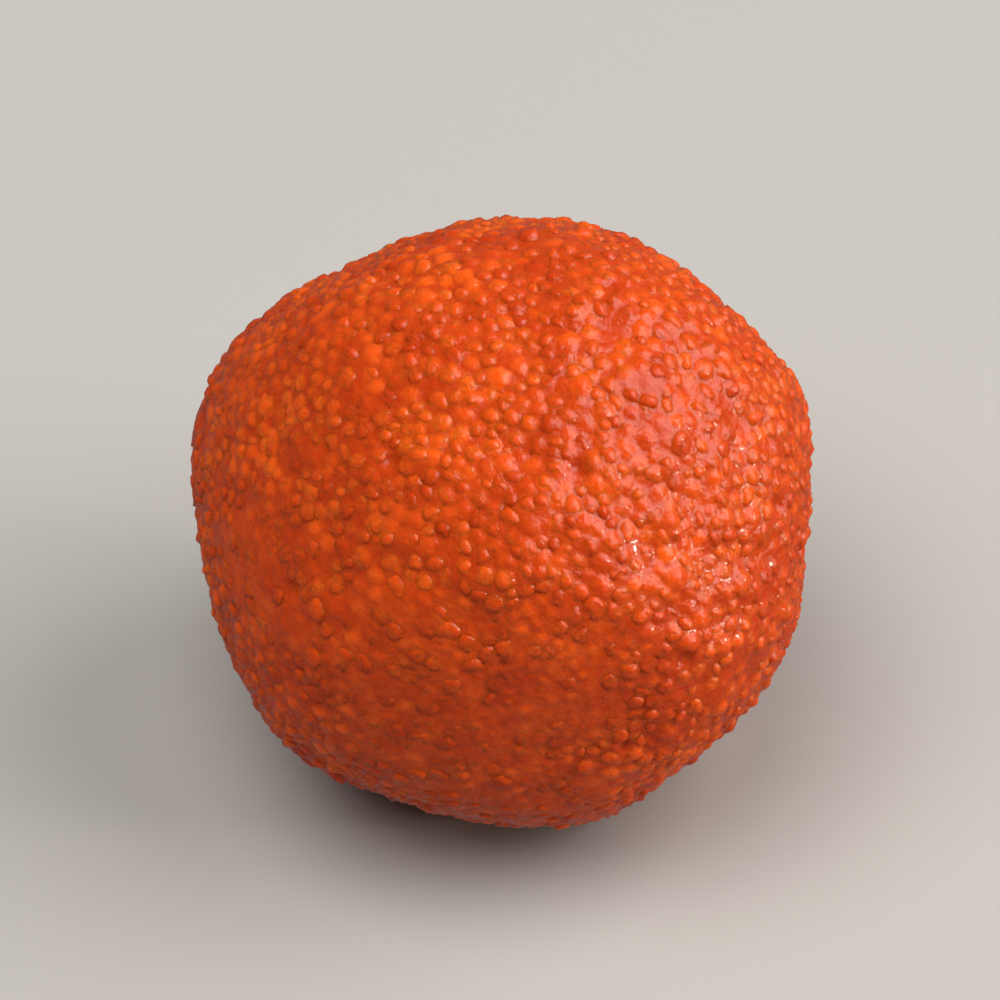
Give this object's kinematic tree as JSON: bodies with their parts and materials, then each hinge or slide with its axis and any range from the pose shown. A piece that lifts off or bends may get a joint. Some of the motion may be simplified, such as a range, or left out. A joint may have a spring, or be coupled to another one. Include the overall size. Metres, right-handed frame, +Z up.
{
  "type": "motichoor ladoo",
  "caption": "Hand-rolled ball of tiny orange-red boondi bound with syrup, slightly flattened by the palms, resting on a small flat.",
  "frame": {"origin": "on the flat that the ladoo rests on, under the middle of its bounding box", "axes": "+Z up, square to the resting flat and along the ladoo's shortest extent; -Y is the front that the viewer sees; +Y is along its longest extent"},
  "size_m": [0.0464, 0.0474, 0.0454],
  "materials": {
    "boondi": "fried gram-flour drops dyed orange-red, moist and glossy with syrup and ghee"
  },
  "bodies": {
    "root": {"ladoo": "boondi"}
  },
  "joints": []
}
